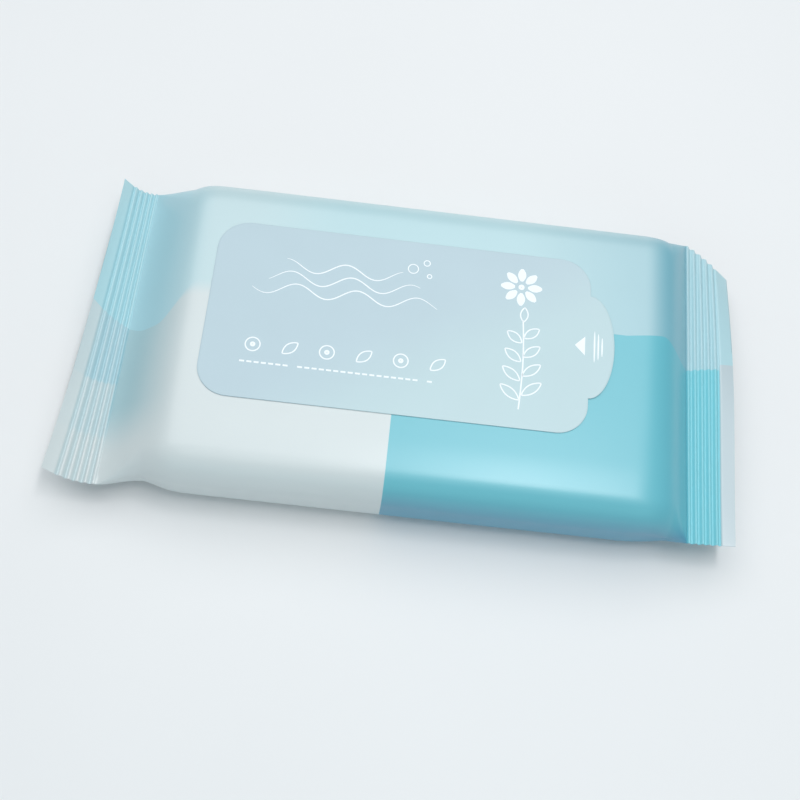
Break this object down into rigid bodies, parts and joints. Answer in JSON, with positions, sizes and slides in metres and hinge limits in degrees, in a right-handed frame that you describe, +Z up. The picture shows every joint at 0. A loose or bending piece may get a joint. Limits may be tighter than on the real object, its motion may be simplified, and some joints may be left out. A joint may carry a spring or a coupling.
{
  "type": "wet wipes pack",
  "caption": "Soft sealed film pack of wet wipes with crimped end seals, a flat fin seal along its back and a resealable label with a thumb tab on top.",
  "frame": {"origin": "middle of the whole pack's outline, on the flat fin seal it rests on", "axes": "+X along the pack's length towards the label's thumb tab, +Y across its width, +Z up through the label"},
  "size_m": [0.152, 0.0746, 0.0205],
  "materials": {
    "film": "satin printed plastic film in pale teal, white and turquoise fields",
    "label": "satin printed label, pale blue with thin white print"
  },
  "bodies": {
    "root": {"film_pack": "film", "reseal_label": "label"}
  },
  "joints": []
}
